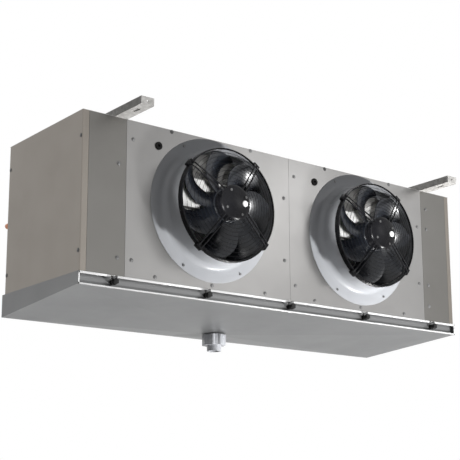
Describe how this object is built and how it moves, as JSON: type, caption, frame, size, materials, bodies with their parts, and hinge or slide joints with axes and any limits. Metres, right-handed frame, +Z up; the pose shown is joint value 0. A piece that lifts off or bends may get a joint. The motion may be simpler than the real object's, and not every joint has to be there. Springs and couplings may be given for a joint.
{
  "type": "walk-in unit cooler",
  "caption": "Ceiling-hung walk-in unit cooler with guarded axial fans in drawn nozzles, a finned coil behind them and a hinged drip tray with a bottom drain.",
  "frame": {"origin": "centre of the four ceiling slots, on the underside of the hanger rails, which is also the top face of the casing", "axes": "+Z up, +X along the casing towards the terminal box end, fans face -Y"},
  "size_m": [1.632, 0.72, 0.662],
  "materials": {
    "casing_sheet": "satin natural sheet",
    "galvanised": "galvanised",
    "nozzle_sheet": "satin drawn sheet",
    "steel": "zinc plated",
    "black_steel": "semi-gloss black",
    "black_plastic": "glossy black",
    "rubber": "matt",
    "white_plastic": "satin",
    "fins": "bright",
    "copper": "drawn copper",
    "tray_sheet": "satin",
    "grey_plastic": "satin grey"
  },
  "bodies": {
    "casing": {"top_panel": "casing_sheet", "side_cover_left": "casing_sheet", "side_cover_right": "casing_sheet", "end_cover_left": "casing_sheet", "end_cover_right": "casing_sheet", "back_cover_left": "casing_sheet", "back_cover_right": "casing_sheet", "fan_panel_left": "casing_sheet", "fan_panel_right": "casing_sheet", "front_sill": "casing_sheet", "back_sill": "casing_sheet", "bay_partition": "casing_sheet", "coil_drip_plate": "casing_sheet", "hanger_rail_left": "galvanised", "hanger_rail_right": "galvanised", "hinge_brackets": "galvanised", "latch_brackets": "galvanised", "tube_plate_left": "galvanised", "tube_plate_right": "galvanised", "fan_nozzle_left": "nozzle_sheet", "fan_nozzle_right": "nozzle_sheet", "rail_bolts": "steel", "rail_nuts": "steel", "nozzle_screws_left": "steel", "nozzle_screws_right": "steel", "motor_screws_left": "steel", "motor_screws_right": "steel", "hinge_pins": "steel", "latch_studs": "steel", "casing_screws": "steel", "defrost_heaters": "steel", "fan_guard_left": "black_steel", "fan_guard_right": "black_steel", "motor_stator_left": "black_steel", "motor_stator_right": "black_steel", "cable_grommet_left": "rubber", "cable_grommet_right": "rubber", "motor_plugs": "white_plastic", "coil_fins": "fins", "coil_tubes": "copper", "return_bends": "copper", "suction_header": "copper", "liquid_distributor": "copper", "terminal_box": "grey_plastic", "terminal_box_lid": "grey_plastic", "cable_glands": "grey_plastic"},
    "fan_left": {"motor_rotor_left": "black_steel", "impeller_left": "black_plastic"},
    "fan_right": {"motor_rotor_right": "black_steel", "impeller_right": "black_plastic"},
    "tray": {"drip_tray": "tray_sheet", "drain_fitting": "grey_plastic", "drain_nut": "grey_plastic", "hinge_leaves": "galvanised"},
    "knob_1": {"latch_knob_1": "black_plastic"},
    "knob_2": {"latch_knob_2": "black_plastic"},
    "knob_3": {"latch_knob_3": "black_plastic"},
    "knob_4": {"latch_knob_4": "black_plastic"},
    "knob_5": {"latch_knob_5": "black_plastic"}
  },
  "joints": [
    {"name": "fan_left_spin", "type": "hinge", "parent": "casing", "child": "fan_left", "pos_m": [-0.328, -0.27, -0.24], "axis": [0, -1, 0], "continuous": true},
    {"name": "fan_right_spin", "type": "hinge", "parent": "casing", "child": "fan_right", "pos_m": [0.328, -0.27, -0.24], "axis": [0, -1, 0], "continuous": true},
    {"name": "tray_swing", "type": "hinge", "parent": "casing", "child": "tray", "pos_m": [0, 0.27, -0.505], "axis": [1, 0, 0], "range_deg": [0, 90]},
    {"name": "knob_1_turn", "type": "hinge", "parent": "casing", "child": "knob_1", "pos_m": [-0.694, -0.215, -0.52], "axis": [0, -1, 0], "range_deg": [0, 360]},
    {"name": "knob_2_turn", "type": "hinge", "parent": "casing", "child": "knob_2", "pos_m": [-0.347, -0.215, -0.52], "axis": [0, -1, 0], "range_deg": [0, 360]},
    {"name": "knob_3_turn", "type": "hinge", "parent": "casing", "child": "knob_3", "pos_m": [0, -0.215, -0.52], "axis": [0, -1, 0], "range_deg": [0, 360]},
    {"name": "knob_4_turn", "type": "hinge", "parent": "casing", "child": "knob_4", "pos_m": [0.347, -0.215, -0.52], "axis": [0, -1, 0], "range_deg": [0, 360]},
    {"name": "knob_5_turn", "type": "hinge", "parent": "casing", "child": "knob_5", "pos_m": [0.694, -0.215, -0.52], "axis": [0, -1, 0], "range_deg": [0, 360]}
  ]
}
